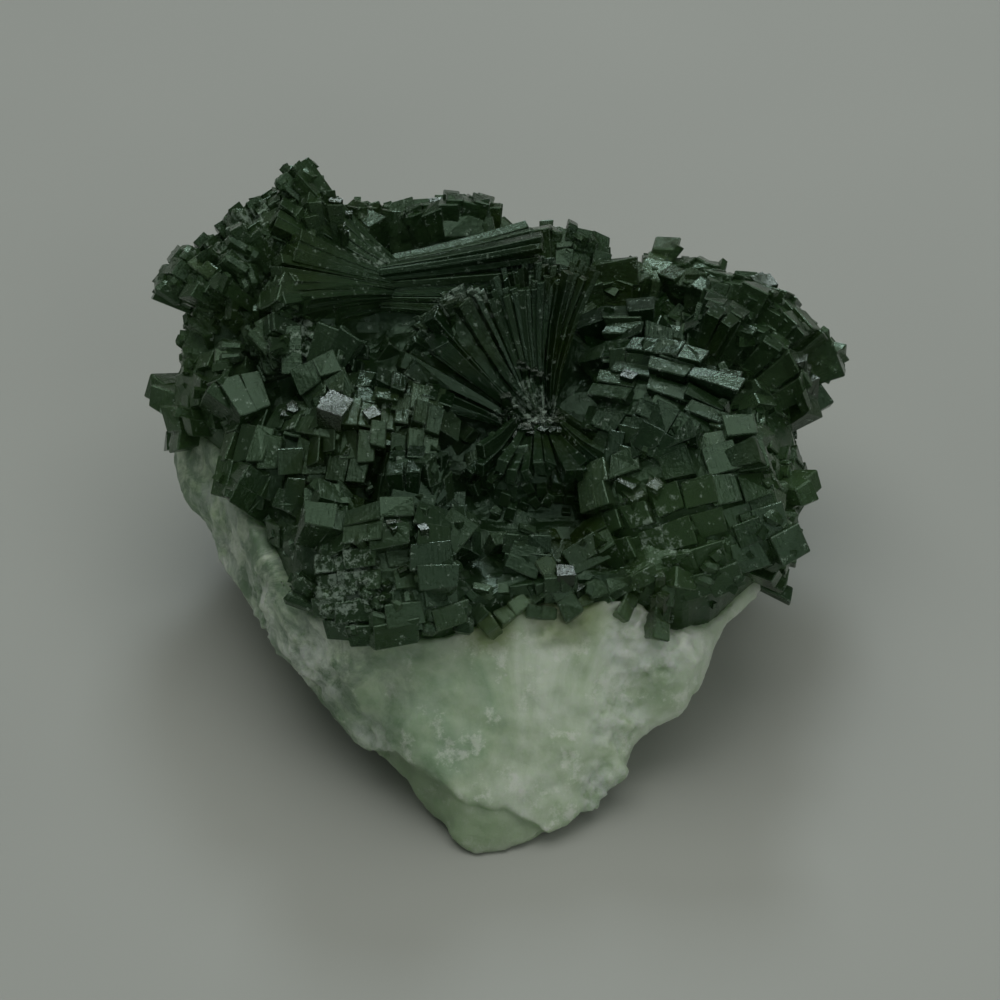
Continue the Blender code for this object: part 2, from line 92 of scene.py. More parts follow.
# Sheaves and fans, as in the solid: name, waist, middle of the crown, which way the blades fan out, blocks across,
# blocks deep, fan angle, depth angle, width and depth at the waist, and how many plates split a block each way.
SHEAVES = (
    ("left_bow", (-8.1, 13.0, 21.8), (-17.4, 13.6, 24.2), (0.12, 0.92, 0.3), 6, 2, 64, 40, 3.0, 3.4, 3, 4),
    ("left_dome", (-12.6, 12.4, 17.0), (-19.6, 17.2, 25.0), (0.7, 0.55, 0.45), 4, 3, 54, 48, 3.4, 3.4, 3, 3),
    ("left_lump", (-13.6, 8.6, 13.0), (-22.6, 10.4, 18.0), (0.2, 0.7, 0.6), 3, 3, 58, 52, 3.2, 3.2, 3, 3),
    ("right_bow", (-9.0, 13.0, 22.2), (3.8, 14.2, 22.2), (0.0, 0.45, 0.9), 3, 2, 18, 14, 3.0, 3.0, 3, 3),
    ("centre_fan", (2.6, 4.2, 16.6), (-0.8, 10.4, 24.2), (1.0, 0.1, 0.0), 7, 2, 74, 22, 2.6, 2.4, 4, 3),
    ("centre_lobe", (1.6, 3.6, 17.4), (-5.8, 6.2, 22.6), (0.5, 0.3, 0.8), 4, 1, 44, 24, 2.0, 2.4, 2, 3),
    ("lower_fan", (2.8, 3.6, 16.4), (3.6, -5.4, 17.4), (1.0, 0.15, 0.0), 6, 1, 70, 16, 2.8, 2.2, 3, 3),
    ("right_barrel", (13.0, 2.4, 14.0), (11.4, -0.6, 22.0), (0.85, -0.4, 0.1), 3, 4, 50, 50, 2.6, 2.6, 1, 2),
    ("low_barrel", (15.0, -1.6, 11.6), (13.2, -8.8, 18.6), (0.9, 0.0, 0.4), 3, 3, 60, 54, 3.0, 3.0, 2, 2),
    ("low_side", (13.8, -3.0, 12.6), (20.8, -4.8, 14.2), (0.2, -0.5, 0.85), 3, 2, 56, 44, 3.4, 3.4, 2, 3),
    ("right_lobe", (14.0, 8.6, 12.0), (20.0, 13.0, 18.2), (0.55, -0.5, -0.65), 3, 3, 46, 54, 3.2, 3.2, 2, 3),
    ("far_lobe", (15.6, 11.0, 12.0), (21.2, 17.4, 18.4), (0.8, -0.6, 0.0), 3, 2, 50, 42, 3.0, 3.0, 2, 3),
    ("right_shelf", (15.0, 3.4, 12.6), (21.0, 3.6, 15.4), (0.0, 0.9, 0.3), 3, 2, 48, 36, 3.2, 3.0, 2, 2),
    ("upper_blocks", (11.8, 9.0, 13.6), (12.0, 8.0, 20.4), (0.9, -0.1, 0.3), 3, 3, 54, 50, 2.6, 2.6, 1, 2),
    ("left_blocks", (-8.6, 0.0, 15.0), (-9.0, -2.0, 22.4), (0.95, -0.1, 0.1), 4, 3, 58, 40, 2.8, 2.6, 2, 1),
    ("west_blocks", (-14.6, 0.6, 13.6), (-16.6, -2.8, 19.4), (0.8, -0.4, 0.2), 3, 3, 54, 48, 2.6, 2.6, 2, 1),
    ("south_blocks", (-7.6, -9.0, 12.4), (-8.6, -14.6, 18.2), (0.95, 0.0, 0.1), 4, 3, 62, 56, 2.8, 2.8, 1, 2),
    ("lens_east", (-13.4, 5.6, 21.8), (-10.6, 4.6, 22.8), (0.0, -0.5, 0.86), 2, 1, 44, 30, 1.4, 1.8, 3, 2),
    ("lens_west", (-13.4, 5.6, 21.8), (-17.4, 5.0, 22.4), (0.0, -0.5, 0.86), 3, 1, 46, 30, 1.4, 1.8, 3, 2),
    ("back_west", (-4.6, 18.4, 15.6), (-6.2, 23.0, 22.8), (0.95, 0.1, 0.2), 3, 2, 58, 34, 3.0, 3.0, 3, 2),
    ("back_east", (2.6, 18.0, 14.6), (2.0, 22.8, 20.0), (1.0, 0.0, 0.0), 4, 2, 66, 34, 3.2, 3.0, 3, 2),
    ("back_corner", (-12.6, 15.4, 17.6), (-14.2, 19.6, 24.6), (0.8, 0.5, 0.0), 3, 2, 50, 38, 3.0, 3.0, 3, 2),
)

# How the plates of a block are made up: how far they stray from their places, the narrowest and the broadest against
# their share of the crown, how much they differ in length, in steps, and whether they are long and a little bent.
FINE_SHEAVES = {
    "left_bow": (0.2, 1.15, 1.5, 1.2, True),
    "left_dome": (0.35, 0.9, 1.2, 2.2, False),
    "left_lump": (0.35, 0.9, 1.2, 2.2, False),
    "right_bow": (0.25, 1.1, 1.5, 1.5, True),
    "centre_fan": (0.35, 0.8, 1.15, 2.0, True),
    "centre_lobe": (0.3, 0.9, 1.2, 2.0, True),
    "lower_fan": (0.3, 0.9, 1.2, 1.5, True),
}
PLAIN_SHEAF = (0.12, 1.02, 1.22, 1.0, False)

# Single tabular crystals, as in the solid: middle of the top face, the way it faces, turn in degrees, width, depth
# across and height, in mm.
TABLETS = (
    ((-6.0, -8.6, 20.8), (0.12, -0.55, 0.82), 34, 3.8, 3.4, 4.0),
    ((-3.2, -11.4, 19.0), (0.3, -0.5, 0.8), 12, 2.8, 2.4, 3.4),
    ((-12.6, -8.6, 19.2), (-0.3, -0.45, 0.84), 40, 3.0, 2.8, 3.6),
    ((2.0, -11.2, 17.0), (0.1, -0.6, 0.78), 20, 3.4, 2.4, 3.4),
    ((6.2, -10.6, 16.2), (0.25, -0.6, 0.75), -14, 3.0, 2.2, 3.2),
    ((9.6, 18.0, 19.4), (0.1, 0.3, 0.95), 15, 3.6, 2.8, 4.0),
    ((13.0, 20.6, 18.2), (0.3, 0.4, 0.85), 40, 3.4, 2.8, 4.0),
    ((-23.4, 6.6, 17.0), (-0.8, -0.3, 0.4), 10, 3.6, 3.2, 4.0),
)

# Clear pale crystals: place, the way they face, how many side by side, and their width, depth and height in mm.
PALE = (
    ((1.4, -13.8, 14.2), (0.1, -0.5, 0.8), 3, 1.5, 1.3, 0.4),
    ((4.2, -12.8, 14.8), (0.1, -0.6, 0.75), 3, 1.8, 1.5, 0.7),
    ((7.0, -12.4, 14.4), (0.2, -0.6, 0.75), 3, 1.6, 1.4, 0.5),
    ((-1.6, -14.4, 14.0), (-0.2, -0.5, 0.8), 3, 1.5, 1.2, 0.3),
    ((3.0, -14.2, 13.8), (0.1, -0.6, 0.75), 2, 1.2, 1.0, 0.2),
    ((9.4, -12.6, 13.8), (0.3, -0.6, 0.7), 3, 1.3, 1.1, 0.4),
    ((11.6, -13.4, 13.0), (0.4, -0.7, 0.6), 3, 1.5, 1.2, 0.9),
    ((13.6, -11.8, 14.6), (0.6, -0.6, 0.5), 2, 1.7, 1.4, 0.9),
    ((-21.8, 12.2, 24.4), (-0.3, -0.5, 0.8), 2, 1.4, 1.1, 0.8),
    ((-21.6, 10.4, 22.4), (-0.4, -0.6, 0.7), 1, 1.2, 1.5, 0.8),
    ((-20.4, 6.2, 20.4), (-0.3, -0.6, 0.7), 2, 1.3, 1.1, 0.8),
    ((22.2, -1.4, 14.6), (0.8, -0.5, 0.3), 2, 1.6, 1.6, 0.8),
    ((12.0, 21.0, 18.2), (0.2, 0.1, 1.0), 3, 2.2, 2.0, 1.0),
    ((15.4, 20.6, 17.8), (0.3, 0.2, 0.9), 2, 2.0, 1.8, 0.9),
    ((-24.8, 8.4, 15.0), (-0.8, -0.5, 0.3), 3, 2.0, 1.9, 0.7),
    ((-23.6, 4.6, 15.4), (-0.8, -0.5, 0.3), 2, 1.8, 1.6, 0.7),
)

# Flat faces that mirror the window: middle of the place, its radius, how many, shortest and longest edge in mm.
GLINTS = (
    ((-12.1, -2.3), 0.5, 2, (1.7, 2.4)),
    ((-9.4, -2.5), 0.3, 1, (0.9, 1.2)),
    ((9.6, -6.7), 0.8, 2, (1.0, 1.5)),
    ((11.2, -7.0), 0.6, 2, (0.9, 1.4)),
    ((19.7, 16.5), 0.9, 2, (0.9, 1.4)),
    ((22.6, 8.6), 1.1, 4, (0.9, 1.7)),
    ((-4.7, 21.2), 0.5, 1, (0.8, 1.1)),
    ((5.2, -12.6), 0.6, 2, (0.7, 1.3)),
    ((11.6, -12.6), 0.8, 3, (0.6, 1.0)),
    ((2.4, 2.6), 2.6, 32, (0.35, 0.8)),
    ((-10.4, 14.2), 2.2, 9, (0.3, 0.6)),
    ((9.2, 2.0), 0.6, 1, (0.8, 1.2)),
    ((-14.6, 0.2), 1.4, 4, (0.5, 0.9)),
    ((-8.0, -14.0), 3.0, 9, (0.4, 0.8)),
)

# Where the crust is covered by small barrels of a few parallel blocks, and how: distance between barrels, shortest
# and longest block edge, blocks across and deep, how far they stand out, how worn they are and how much they lean.
BLOCKS = (2.6, (1.0, 2.0), (2, 3), (1, 2), (-0.3, 0.12), 0.07, 0.1)
KNOBS = (1.7, (0.8, 1.4), (1, 2), (1, 2), (-0.15, 0.15), 0.32, 0.25)
CRUMBS = (1.2, (0.35, 0.8), (1, 1), (1, 1), (0.05, 0.25), 0.0, 0.5)

# How often a place is tried for a barrel and for a crumb, how high on the solid crust they begin, how much higher at
# the front and on the left, the steepest place they grow on, as the height of its normal, and where a place's ray
# starts above the crust and how deep it looks, in mm.
BARREL_TRIES, CRUMB_TRIES = 6000, 2600
LOW_END, HIGHER = 12.6, 1.6
STEEPEST = -0.25
RAY_START, RAY_DEPTH = 1.2, 4.0
SPLAY = 0.16  # how much the blocks of a small barrel spread
PAST_BOX = 0.5 * MM  # how far a small barrel may stand out of the solid's outer measures
CROWN_FROM, CROWN_TO = 0.84, 1.14  # where the ends of a sheaf's blades lie, as shares of its length

# Places with their own cover: from one point to another, radius around that line, in mm, and the cover.
ZONES = (
    ((-17.6, 14.4, 26.4), (5.0, 15.0, 25.0), 3.0, None),
    ((-15.0, 11.0, 24.4), (-7.0, 12.4, 22.0), 3.4, None),
    ((-5.0, 9.0, 24.0), (5.0, 12.0, 24.0), 4.4, None),
    ((-6.0, 8.0, 24.0), (2.0, 4.5, 17.0), 4.4, None),
    ((5.5, 10.0, 24.0), (2.5, 4.5, 17.0), 3.6, None),
    ((0.0, 10.0, 24.0), (2.5, 4.5, 17.0), 4.0, None),
    ((2.5, 3.0, 17.4), (4.5, -5.0, 18.0), 3.8, None),
    ((10.4, -1.0, 22.0), (12.4, 1.0, 22.0), 3.0, None),
    ((-21.5, 12.0, 22.0), (-16.0, 18.0, 27.0), 5.5, KNOBS),
    ((-24.0, 6.0, 15.0), (-24.0, 15.0, 16.0), 5.0, KNOBS),
    ((-12.4, -13.0, 15.6), (-3.4, -14.6, 15.6), 4.4, KNOBS),
    ((16.0, -12.0, 14.0), (22.0, -4.0, 14.0), 4.5, KNOBS),
)

# White dust on the crystals: middle of the patch and its radius, in mm.
DUSTY_SPOTS = (
    ((-3.0, 8.4, 23.6), 4.0),
    ((2.0, 3.4, 17.6), 3.4),
    ((-10.4, 14.0, 23.4), 2.8),
    ((-14.4, 5.9, 22.0), 3.2),
    ((-11.4, -14.8, 16.6), 4.0),
    ((10.6, -10.6, 18.4), 3.8),
    ((-18.6, 14.6, 25.0), 4.0),
)

# Far from here the crust is thin and painted lighter, as a painted glow of light coming through it, in mm.
THICK_MIDDLE = (2.0, 2.0, 16.0)
THIN_GLOW_FROM = 27.0

# Where the crust is thin at its edge and light gets through, painted as a lighter green glow: middle and radius, in mm.
THIN_GLOW_SPOTS = (
    ((20.0, -4.0, 14.5), 8.0),
    ((12.6, -8.5, 16.0), 6.5),
    ((-25.0, 7.5, 17.0), 7.5),
    ((-23.0, -1.0, 14.0), 7.5),
)

# Where the stone's edge is olive green below the crust: middle and radius, in mm.
GREEN_EDGES = (
    ((4.6, -13.4, 13.4), 3.6),
    ((-0.8, -14.6, 12.8), 2.4),
    ((12.4, -12.2, 13.0), 2.8),
)

# Where light gets through and the crystals look olive, painted as an olive glow: middle and radius, in mm.
OLIVE_GLOW_SPOTS = (
    ((1.0, 21.5, 20.5), 5.0),
    ((5.6, -8.6, 15.6), 3.4),
)


def select_only(obj):
    """Makes an object the only selected one and the active one."""
    bpy.ops.object.select_all(action="DESELECT")
    obj.select_set(True)
    bpy.context.view_layer.objects.active = obj


def finish_modifiers(obj):
    """Turns an object's modifiers into its mesh."""
    select_only(obj)
    for modifier in list(obj.modifiers):
        bpy.ops.object.modifier_apply(modifier=modifier.name)


def add_modifier(obj, kind, **settings):
    """A new modifier with the given settings."""
    modifier = obj.modifiers.new(kind.title(), kind)
    for name, value in settings.items():
        setattr(modifier, name, value)
    return modifier


def clouds(name, kind, size, **settings):
    """A solid texture for relief, its pattern this large in mm."""
    texture = bpy.data.textures.new(name, kind)
    texture.noise_scale = size * MM
    for key, value in settings.items():
        setattr(texture, key, value)
    return texture


def merged_copy(node, name):
    """A copy of a CAD node to work on, its loose triangles merged."""
    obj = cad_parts[node].copy()
    obj.data = obj.data.copy()
    obj.parent = None
    obj.name = name
    for key in list(obj.keys()):
        del obj[key]
    bpy.context.scene.collection.objects.link(obj)
    select_only(obj)
    bpy.ops.object.mode_set(mode="EDIT")
    bpy.ops.mesh.select_all(action="SELECT")
    bpy.ops.mesh.remove_doubles(threshold=0.001 * MM)
    bpy.ops.object.mode_set(mode="OBJECT")
    return obj


# The crystals that all the others are copies of.


def model_crystal(name, cuts, worn):
    """A unit crystal, its edges worn or sharp, cut across where it can bend. Its faces know which are worn edges."""
    bpy.ops.object.select_all(action="DESELECT")
    bpy.ops.mesh.primitive_cube_add(size=1, location=(0, 0, 0))
    obj = bpy.context.object
    bpy.ops.object.mode_set(mode="EDIT")
    bpy.ops.mesh.select_all(action="SELECT")
    if worn:
        bpy.ops.mesh.bevel(offset=CHAMFER, segments=1, affect="EDGES")
    for height in cuts:
        bpy.ops.mesh.select_all(action="SELECT")
        bpy.ops.mesh.bisect(plane_co=(0, 0, height), plane_no=(0, 0, 1))
    bpy.ops.object.mode_set(mode="OBJECT")
    mesh = obj.data
    mesh.name = name
    edge = mesh.attributes.new("edge", "FLOAT", "FACE")
    mesh.attributes.new("tone", "FLOAT", "FACE")
    for face in mesh.polygons:
        edge.data[face.index].value = 0.0 if max(abs(c) for c in face.normal) > 0.99 else 1.0
    bpy.data.objects.remove(obj, do_unlink=True)
    return mesh


class Model:
    """The points of a unit crystal and what each of them belongs to."""

    def __init__(self, name, cuts=(), worn=True):
        self.mesh = model_crystal(name, cuts, worn)
        self.unit = np.array([v.co for v in self.mesh.vertices])
        self.corner = (self.unit[:, 0] > 0) * 2 + (self.unit[:, 1] > 0)
        self.loops = np.array([loop.vertex_index for loop in self.mesh.loops])
        self.facing = np.zeros(len(self.mesh.loops), int)
        for face in self.mesh.polygons:
            self.facing[list(face.loop_indices)] = max(range(3), key=lambda k: abs(face.normal[k]))


class Crystals:
    """Copies of the unit crystals, each stretched to its own foot, tip and sizes."""

    def __init__(self):
        self.block = Model("block")
        self.crumb = Model("crumb", worn=False)
        self.blade = Model("blade", (-0.17, 0.17))
        self.chance = np.random.default_rng(SEED)
        self.made = []

    def add(self, foot, tip, across, foot_size, tip_size, lean, tone, worn, bow=None):
        """One crystal from its foot to its tip, its width pointing across, its end leaning, worn at its edges in mm."""
        model = self.crumb if worn == 0 else self.blade if bow is not None else self.block
        along = tip - foot
        length = along.length
        along = along / length
        across = (across - along * across.dot(along)).normalized()
        deep = along.cross(across)
        unit = model.unit
        edge = min(worn * MM, min(tip_size) * 0.3)
        inset = np.clip((0.5 - np.abs(unit)) / CHAMFER, 0, 1) * edge
        cap = np.abs(unit[:, 2]) > CAP_FROM
        z = np.where(cap, np.where(unit[:, 2] > 0, length - inset[:, 2], inset[:, 2]), (unit[:, 2] + 0.5) * length)
        share = z / length
        x = np.sign(unit[:, 0]) * ((foot_size[0] * (1 - share) + tip_size[0] * share) / 2 - inset[:, 0])
        y = np.sign(unit[:, 1]) * ((foot_size[1] * (1 - share) + tip_size[1] * share) / 2 - inset[:, 1])
        z = z + share * (lean[0] * x + lean[1] * y)
        stray = self.chance.normal(0, UNEVEN, (2, 4, 3)) * (tip_size[0], tip_size[1], min(tip_size))
        low, high = stray[0][model.corner], stray[1][model.corner]
        local = np.stack([x, y, z], axis=1) + low + (high - low) * share[:, None]
        axes = np.array([across, deep, along])
        world = local @ axes + np.array(foot)
        if bow is not None:
            world = world + np.array(bow) * (4 * share * (1 - share))[:, None]
        mesh = model.mesh.copy()
        mesh.vertices.foreach_set("co", world.astype(np.float32).ravel())
        pattern = local[model.loops] / MM + self.chance.uniform(0, 50, 3)
        u = np.where(model.facing == 0, pattern[:, 1], pattern[:, 0])
        v = np.where(model.facing == 2, pattern[:, 1], pattern[:, 2])
        mesh.uv_layers[0].data.foreach_set("uv", np.stack([u, v], axis=1).astype(np.float32).ravel())
        mesh.attributes["tone"].data.foreach_set("value", np.full(len(mesh.polygons), tone, np.float32))
        self.made.append(mesh)


def grown_together(meshes):
    """Joins closed meshes into one solid, two by two."""
    left = bpy.data.objects.new("joined", meshes[0])
    right = bpy.data.objects.new("joining", meshes[-1])
    for obj in (left, right):
        bpy.context.scene.collection.objects.link(obj)
    select_only(left)
    while len(meshes) > 1:
        joined = []
        for first, second in zip(meshes[::2], meshes[1::2]):
            left.data, right.data = first, second
            add_modifier(left, "BOOLEAN", operation="UNION", solver="MANIFOLD", object=right)
            bpy.ops.object.modifier_apply(modifier="Boolean")
            joined.append(left.data)
        if len(meshes) % 2:
            joined.append(meshes[-1])
        meshes = joined
    for obj in (left, right):
        bpy.data.objects.remove(obj, do_unlink=True)
    return meshes[0]


def without_pockets(mesh):
    """Fills the closed pockets between crossed crystals and drops loose crumbs: only the outer surface stays."""
    pairs = np.zeros(len(mesh.edges) * 2, int)
    mesh.edges.foreach_get("vertices", pairs)
    pairs = pairs.reshape(-1, 2)
    island = np.arange(len(mesh.vertices))
    while True:
        lowest = np.minimum(island[pairs[:, 0]], island[pairs[:, 1]])
        spread = island.copy()
        np.minimum.at(spread, pairs[:, 0], lowest)
        np.minimum.at(spread, pairs[:, 1], lowest)
        spread = spread[spread]
        if (spread == island).all():
            break
        island = spread
    largest = np.bincount(island).argmax()
    bm = bmesh.new()
    bm.from_mesh(mesh)
    loose = [v for v, which in zip(bm.verts, island.tolist()) if which != largest]
    bmesh.ops.delete(bm, geom=loose, context="VERTS")
    bm.to_mesh(mesh)
    bm.free()
    return mesh


def grow_sheaf(crystals, rng, fine, name, waist, crown, spread, fan_count, deep_count, fan_deg, deep_deg, *rest):
    """Blades that diverge from a waist, each block of the solid split into plates that end at steps."""
    waist_width, waist_depth, plates_across, plates_deep = rest
    fine_sheaf = FINE_SHEAVES.get(name)
    stray, narrow, broad, steps, bent = fine_sheaf or PLAIN_SHEAF
    waist, crown = Vector(waist) * MM, Vector(crown) * MM
    along = (crown - waist).normalized()
    spread = Vector(spread)
    spread = (spread - along * spread.dot(along)).normalized()
    deep = along.cross(spread)
    reach = (crown - waist).length
    fan, depth_fan = math.radians(fan_deg), math.radians(deep_deg)
    end_width, end_depth = reach * fan / fan_count, reach * depth_fan / deep_count
    for i in range(fan_count):
        for j in range(deep_count):
            u = (i + 0.5) / fan_count - 0.5 + rng.uniform(-0.1, 0.1) / fan_count
            v = (j + 0.5) / deep_count - 0.5 + rng.uniform(-0.1, 0.1) / deep_count
            length = reach * rng.uniform(0.9, 1.06)
            size = rng.uniform(1.0, 1.25)
            lean = (rng.uniform(-0.25, 0.25), rng.uniform(-0.25, 0.25))
            tone = fine.random()
            for a in range(plates_across):
                for b in range(plates_deep):
                    du = ((a + 0.5 + fine.gauss(0, stray)) / plates_across - 0.5) / fan_count
                    dv = ((b + 0.5 + fine.gauss(0, stray)) / plates_deep - 0.5) / deep_count
                    aside = spread * math.tan((u + du) * fan) + deep * math.tan((v + dv) * depth_fan)
                    foot = waist + (spread * (u + du) * waist_width + deep * (v + dv) * waist_depth) * MM
                    rise = lean[0] * du * fan * reach + lean[1] * dv * depth_fan * reach
                    step = fine.gauss(0, 1) * PLATE_STEP * steps
                    tip = foot + (along + aside).normalized() * (length + rise + step)
                    wide = fine.uniform(narrow, broad)
                    crystals.add(
                        foot,
                        tip,
                        spread + deep * (fine.gauss(0, 0.3) if fine_sheaf else 0.0),
                        (waist_width * MM / fan_count / plates_across * 1.3,
                         waist_depth * MM / deep_count / plates_deep * 1.3),
                        (end_width * size / plates_across * wide, end_depth * size / plates_deep * wide),
                        (lean[0] + fine.gauss(0, 0.08), lean[1] + fine.gauss(0, 0.08)),
                        min(1.0, max(0.0, tone + fine.gauss(0, 0.15))),
                        0.04 if fine_sheaf else 0.08,
                        aside * -CURVE * reach if bent else None,
                    )


def ground_mass():
    """What the crystals have grown from: the solid crust, worn down and granular, its underside set into the stone."""
    obj = merged_copy("crystal_crust", "ground")
    add_modifier(obj, "REMESH", mode="VOXEL", voxel_size=WEAR_VOXEL * MM)
    add_modifier(obj, "DISPLACE", strength=-WORN_OFF * MM, mid_level=0.0)
    add_modifier(obj, "DISPLACE", texture=clouds("grains", "VORONOI", GRAIN_SIZE), strength=-GRAIN_DEPTH * MM,
                 mid_level=0.3, texture_coords="LOCAL")
    finish_modifiers(obj)
    stone_surface = tree_of(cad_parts["stone"].data)
    for v in obj.data.vertices:
        _, _, _, gap = stone_surface.ray_cast(v.co, Vector((0, 0, -1)), SET_IN_BELOW * MM)
        if gap is not None:
            v.co.z -= SET_IN * MM
    add_modifier(obj, "REMESH", mode="VOXEL", voxel_size=GROUND_VOXEL * MM)
    finish_modifiers(obj)
    mesh = obj.data
    mesh.attributes.new("edge", "FLOAT", "FACE")
    tone = mesh.attributes.new("tone", "FLOAT", "FACE")
    tone.data.foreach_set("value", np.full(len(mesh.polygons), 0.4, np.float32))
    mesh.uv_layers.new(name="UVMap")
    bpy.data.objects.remove(obj, do_unlink=True)
    return mesh


def tree_of(*meshes):
    """The surface of one or more meshes, for casting rays on it."""
    points, faces = [], []
    for mesh in meshes:
        faces += [[len(points) + k for k in face.vertices] for face in mesh.polygons]
        points += [v.co.copy() for v in mesh.vertices]
    return BVHTree.FromPolygons(points, faces)


def first_hit(surfaces, start, way, reach):
    """Where a ray first meets one of the surfaces, or None."""
    hits = [surface.ray_cast(start, way, reach) for surface in surfaces]
    hits = [hit for hit in hits if hit[0] is not None]
    return min(hits, key=lambda hit: hit[3])[0] if hits else None


def on_a_crown(place):
    """Whether a place lies on the ends of a sheaf's blades."""
    for _, waist, crown, spread, _, _, fan_deg, deep_deg, *_ in SHEAVES:
        waist = Vector(waist)
        along = Vector(crown) - waist
        reach = along.length
        along = along / reach
        spread = Vector(spread)
        spread = (spread - along * spread.dot(along)).normalized()
        away = Vector(place) - waist
        ahead = away.dot(along)
        if not CROWN_FROM * reach < away.length < CROWN_TO * reach or ahead <= 0:
            continue
        aside = abs(away.dot(spread)) / ahead
        behind = abs(away.dot(along.cross(spread))) / ahead
        if aside < math.tan(math.radians(fan_deg / 2)) and behind < math.tan(math.radians(deep_deg / 2)):
            return True
    return False


def zone_of(place):
    """The cover at a place of the crust: the ends of the larger sheaves are left bare."""
    for start, end, radius, cover in ZONES:
        start, line = np.array(start), np.array(end) - np.array(start)
        share = min(1.0, max(0.0, (place - start) @ line / (line @ line)))
        if np.linalg.norm(place - start - line * share) < radius:
            return cover
    return None if on_a_crown(place) else BLOCKS


def places_on(surfaces, tries, cover=None):
    """Places all over the solid crust, no two closer than their cover allows, set down on what has grown so far."""
    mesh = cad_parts["crystal_crust"].data
    mesh.calc_loop_triangles()
    corners = np.array([[mesh.vertices[k].co[:] for k in t.vertices] for t in mesh.loop_triangles])
    cross = np.cross(corners[:, 1] - corners[:, 0], corners[:, 2] - corners[:, 0])
    area = np.linalg.norm(cross, axis=1)
    normals = cross / np.maximum(area, 1e-12)[:, None]
    middle = corners.mean(axis=1) / MM
    front = (middle[:, 1] < -9) & (np.abs(middle[:, 0] - 4) < 9)
    left = (middle[:, 0] < -14) & (middle[:, 1] < 2)
    low_end = LOW_END + HIGHER * (front | left)
    open_sky = (normals[:, 2] > STEEPEST) & (middle[:, 2] > low_end)
    weight = area * open_sky
    chance = np.random.default_rng(tries)
    found, taken = [], np.zeros((0, 3))
    for number, k in enumerate(chance.choice(len(area), size=tries, p=weight / weight.sum())):
        a, b = np.sort(chance.random(2))
        place = corners[k][0] * a + corners[k][1] * (b - a) + corners[k][2] * (1 - b)
        here = zone_of(place / MM)
        if here is None:
            continue
        here = cover or here
        if len(taken) and np.min(np.sum((taken - place) ** 2, axis=1)) < (here[0] * MM) ** 2:
            continue
        taken = np.vstack([taken, place])
        normal = Vector(normals[k])
        hit = first_hit(surfaces, Vector(place) + normal * RAY_START * MM, -normal, RAY_DEPTH * MM)
        if hit is not None:
            found.append((hit, normal, here, number))
    return found


def turned(facing, degrees):
    """A direction square to the given one, turned about it."""
    side = facing.orthogonal().normalized()
    turn = math.radians(degrees)
    return side * math.cos(turn) + facing.cross(side) * math.sin(turn)


def inside_box(tip, reach):
    """Whether a crystal that ends there stays within the solid's outer measures, or nearly."""
    low, high = cad_box
    return all(low[k] - PAST_BOX < tip[k] - reach and tip[k] + reach < high[k] + PAST_BOX for k in range(3))


def grow_named(crystals, rng):
    """The crystals that are placed one by one."""
    for top, facing, turn, width, depth, height in TABLETS:
        facing, top = Vector(facing).normalized(), Vector(top) * MM
        crystals.add(top - facing * height * MM, top, turned(facing, turn), (width * 0.8 * MM, depth * 0.8 * MM),
                     (width * MM, depth * MM), (rng.gauss(0, 0.05), rng.gauss(0, 0.05)), rng.uniform(0.5, 1.0), 0.08)
    for place, facing, count, width, depth, height in PALE:
        facing = Vector(facing).normalized()
        side = turned(facing, rng.uniform(0, 180))
        for i in range(count):
            away = (i - (count - 1) / 2) * width * 0.85
            tip = Vector(place) * MM + side * away * MM + facing * (height * 0.5 + rng.gauss(0, 0.2)) * MM
            crystals.add(tip - facing * (height + 2.2) * MM, tip, side, (width * 0.9 * MM, depth * 0.9 * MM),
                         (width * MM, depth * MM), (rng.gauss(0, 0.2), rng.gauss(0, 0.2)), rng.uniform(0.8, 1.4), 0.12)


def grow_glints(crystals, surfaces, rng):
    """Faces that lie just so that they mirror the window into the eye."""
    to_eye = Vector((0, -math.cos(CAMERA_ELEVATION), math.sin(CAMERA_ELEVATION)))
    half = (to_eye + (Vector(WINDOW) - CAMERA_TARGET).normalized()).normalized()
    for (x, y), radius, count, sizes in GLINTS:
        for _ in range(count):
            angle, away = rng.uniform(0, 2 * math.pi), radius * math.sqrt(rng.random())
            facing = (half + Vector([rng.gauss(0, 0.03) for _ in range(3)])).normalized()
            width, depth, turn = rng.uniform(*sizes) * MM, rng.uniform(*sizes) * MM, rng.uniform(0, 180)
            start = Vector((x + away * math.cos(angle), y + away * math.sin(angle), 40)) * MM
            place = first_hit(surfaces, start, Vector((0, 0, -1)), 50 * MM)
            if place is None:
                continue
            tip = place + facing * (0.2 * MM + width * 0.2)
            crystals.add(tip - facing * (width + 1.0 * MM), tip, turned(facing, turn),
                         (width * 0.9, depth * 0.9), (width, depth), (0.0, 0.0), MIRROR_TONE, 0.0)


